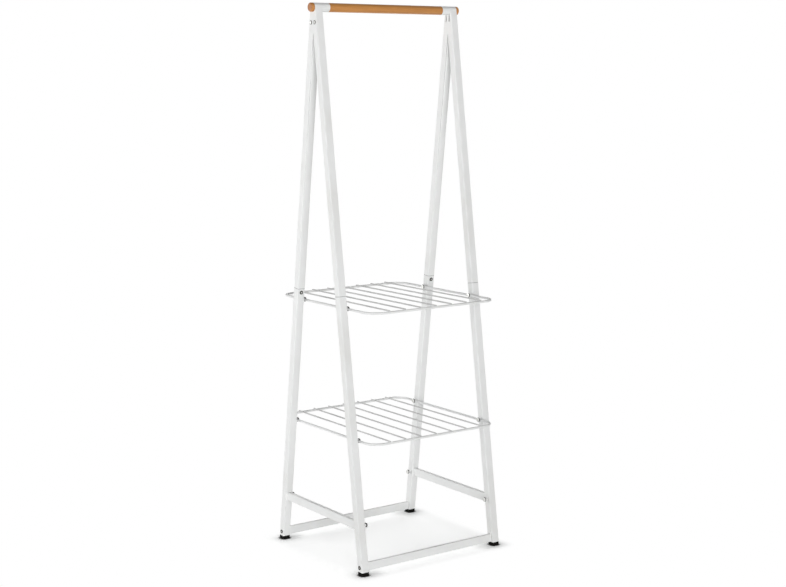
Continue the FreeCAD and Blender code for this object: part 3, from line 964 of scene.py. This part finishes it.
class RACK_OT_frame_screws(bpy.types.Operator):
    """Screws of the hubs, the rails and the leg seams"""

    bl_idname = "rack.frame_screws"
    bl_label = "Frame screws"

    def execute(self, context):
        s = sizes()
        for number, group in enumerate(("hub_screws", "rail_screws")):
            x, y, z = spans(group)
            face = x[1] - s.head_height
            points, aims = at_legs(face, middle(y), middle(z), 1)
            self.set_screws(group, face - x[0], points, aims, FRAME_SCREW_SEED + number)
        cosine, sine = math.cos(s.leg_lean), math.sin(s.leg_lean)
        axis = s.foot_spread / 2 - math.tan(s.leg_lean) * s.seam_screw
        y, z = axis - cosine * s.leg / 2, s.seam_screw - sine * s.leg / 2
        points = at_legs(middle(LEG[0]), y, z, 1)[0]
        aims = [(0, -end * cosine, -sine) for _ in SIDES for _, end in ENDS]
        self.set_screws("seam_screws", SEAM_SCREW_LENGTH, points, aims, SEAM_SCREW_SEED)
        return {"FINISHED"}

    def set_screws(self, group, length, points, aims, seed):
        s = sizes()
        screw = add_object("screw_pattern", screw_mesh(length, s.head, UNSHADED_HEAD[group] * s.socket))
        fasten(group, "plated", screw, points, aims, seed, zinc_steel())
        discard(screw)


class RACK_OT_stage(bpy.types.Operator):
    """Floor, studio light and camera"""

    bl_idname = "rack.stage"
    bl_label = "Stage"

    def execute(self, context):
        self.make_floor()
        for name, light, place, size in LAMPS:
            self.make_lamp(name, place, size, getattr(staging(), light))
        self.make_world()
        self.make_camera()
        context.scene.view_settings.view_transform = "Standard"
        return {"FINISHED"}

    def seen_directly(self, sheet):
        """1 for rays that show the background itself: from the camera, in reflections and through glass."""
        path = sheet.add("ShaderNodeLightPath").outputs
        first = sheet.math("MAXIMUM", path["Is Camera Ray"], path["Is Glossy Ray"])
        return sheet.math("MAXIMUM", first, path["Is Transmission Ray"])

    def darkening(self, sheet, reach, depth):
        """1 on open floor, less where something stands within reach."""
        near = sheet.add("ShaderNodeAmbientOcclusion", {"Distance": reach}, samples=8)
        return sheet.math("POWER", near.outputs["AO"], depth)

    def make_floor(self):
        """Floor with a pale patch under the rack, painted as its soft shadow, that fades to white round it,
        with soft shadows at the feet.
        """
        stage = staging()
        mesh = bpy.data.meshes.new("studio_floor")
        square = ((-1, -1), (1, -1), (1, 1), (-1, 1))
        corners = [(x * FLOOR_HALF, y * FLOOR_HALF, -FLOOR_DROP) for x, y in square]
        mesh.from_pydata(corners, [], [(0, 1, 2, 3)])
        material, sheet = new_material("studio_floor")
        material.node_tree.nodes.clear()
        # Painted shadow: inside the patch the floor is shown lit and darker; round it, it is white.
        parts = sheet.split(sheet.place())
        aside = sheet.math("ABSOLUTE", parts["X"])
        ahead = sheet.math("ABSOLUTE", parts["Y"])
        across = sheet.math("DIVIDE", aside, stage.floor_patch[0])
        along = sheet.math("DIVIDE", ahead, stage.floor_patch[1])
        fade = stage.floor_fade
        outside = sheet.ramp(sheet.math("SMOOTH_MAX", across, along, fade), 1.0, 1.0 + fade)
        # Painted shadow: the floor's darkening is made deeper by place, round the feet.
        from_foot = sheet.distance(
            sheet.math("SUBTRACT", aside, middle(LEG[0])),
            sheet.math("SUBTRACT", ahead, sizes().foot_spread / 2))
        at_foot = sheet.ramp(from_foot, HALO_EDGE * stage.halo_reach, HALO_CORE)
        halo_depth = sheet.vary(at_foot, HALO_ELSEWHERE, stage.halo_depth)
        halo = self.darkening(sheet, stage.halo_reach, halo_depth)
        contact = self.darkening(sheet, stage.contact_reach, stage.contact_depth)
        open_floor = sheet.math("MULTIPLY", halo, contact)
        seen = self.seen_directly(sheet)
        # Painted shadow: the floor's colour is darkened towards black where the feet stand on it.
        matt = sheet.add("ShaderNodeBsdfDiffuse", {
            "Color": sheet.mix_colour(contact, PAINTED_CONTACT_SHADOW, colours().floor)})
        shown = sheet.math("MULTIPLY", open_floor, stage.floor_glow)
        bounced = sheet.math("MULTIPLY", sheet.math("SUBTRACT", 1.0, seen), stage.floor_bounce)
        glow = sheet.add("ShaderNodeEmission", {
            "Strength": sheet.math("MULTIPLY_ADD", seen, shown, bounced)})
        near = sheet.add("ShaderNodeAddShader", {0: matt, 1: glow})
        white = sheet.add("ShaderNodeEmission")
        far = sheet.math("MULTIPLY", outside, open_floor)
        blend = sheet.add("ShaderNodeMixShader", {0: sheet.math("MULTIPLY", far, seen), 1: near, 2: white})
        sheet.add("ShaderNodeOutputMaterial", {"Surface": blend})
        mesh.materials.append(material)
        add_object("studio_floor", mesh)

    def make_lamp(self, name, place, size, power):
        lamp = bpy.data.lights.new(name, "AREA")
        lamp.shape = "RECTANGLE"
        lamp.size, lamp.size_y = size
        lamp.energy = power
        obj = add_object(name, lamp)
        obj.location = place
        obj.rotation_euler = (Vector(LAMP_TARGET) - Vector(place)).to_track_quat("-Z", "Y").to_euler()
        obj.visible_camera = False

    def make_world(self):
        """Soft light from all round, and a white background."""
        stage = staging()
        world = bpy.data.worlds.new("studio")
        bpy.context.scene.world = world
        world.use_nodes = True
        world.node_tree.nodes.clear()
        sheet = NodeSheet(world.node_tree)
        upward = sheet.split(sheet.add("ShaderNodeTexCoord").outputs["Generated"])["Z"]
        overhead = sheet.ramp(upward, 0.3, 0.8)
        ambient = sheet.add("ShaderNodeBackground", {
            "Strength": sheet.vary(overhead, stage.ambient, stage.ambient_overhead)})
        white = sheet.add("ShaderNodeBackground", {
            "Color": (1, 1, 1, 1), "Strength": sheet.vary(overhead, 1.0, 0.25)})
        blend = sheet.add("ShaderNodeMixShader", {0: self.seen_directly(sheet), 1: ambient, 2: white})
        sheet.add("ShaderNodeOutputWorld", {"Surface": blend})

    def make_camera(self):
        stage = staging()
        yaw, pitch, roll = stage.yaw, stage.pitch, stage.roll
        level = math.cos(pitch)
        forward = Vector((-math.sin(yaw) * level, math.cos(yaw) * level, math.sin(pitch)))
        right = Vector((math.cos(yaw), math.sin(yaw), 0))
        up = right.cross(forward)
        turned = math.cos(roll) * right + math.sin(roll) * up
        raised = math.cos(roll) * up - math.sin(roll) * right
        data = bpy.data.cameras.new("camera")
        data.sensor_fit = "HORIZONTAL"
        data.sensor_width = SENSOR_WIDTH
        data.lens = stage.focal_pixels / PICTURE_WIDTH * SENSOR_WIDTH
        camera = add_object("camera", data)
        turn = Matrix((turned, raised, -forward)).transposed().to_4x4()
        camera.matrix_world = Matrix.Translation(stage.camera) @ turn
        bpy.context.scene.camera = camera


OPERATORS = (
    RACK_OT_tubes, RACK_OT_joint_tubes, RACK_OT_rod, RACK_OT_shelves, RACK_OT_feet, RACK_OT_pegs,
    RACK_OT_frame_screws, RACK_OT_stage,
)


class RACK_PT_panel(bpy.types.Panel):
    """Sidebar panel with the sizes, colours and pieces of the rack"""

    bl_idname = "RACK_PT_panel"
    bl_label = "Clothes rack"
    bl_space_type = "VIEW_3D"
    bl_region_type = "UI"
    bl_category = "Rack"

    def draw(self, context):
        scene = context.scene
        for group in (scene.rack_sizes, scene.rack_colours, scene.rack_stage):
            box = self.layout.box()
            for name in group.bl_rna.properties.keys():
                if name not in ("rna_type", "name"):
                    box.prop(group, name)
        for operator in OPERATORS:
            self.layout.operator(operator.bl_idname)


GROUPS = (("rack_sizes", RackSizes), ("rack_colours", RackColours), ("rack_stage", RackStage))


def register():
    for name, group in GROUPS:
        bpy.utils.register_class(group)
        setattr(bpy.types.Scene, name, PointerProperty(type=group))
    for item in (*OPERATORS, RACK_PT_panel):
        bpy.utils.register_class(item)


def unregister():
    for item in reversed((*OPERATORS, RACK_PT_panel)):
        bpy.utils.unregister_class(item)
    for name, group in reversed(GROUPS):
        delattr(bpy.types.Scene, name)
        bpy.utils.unregister_class(group)


def main():
    register()
    bpy.ops.rack.tubes()
    bpy.ops.rack.joint_tubes()
    bpy.ops.rack.rod()
    bpy.ops.rack.shelves()
    bpy.ops.rack.feet()
    bpy.ops.rack.pegs()
    bpy.ops.rack.frame_screws()
    bpy.ops.rack.stage()


if __name__ == "__main__":
    main()
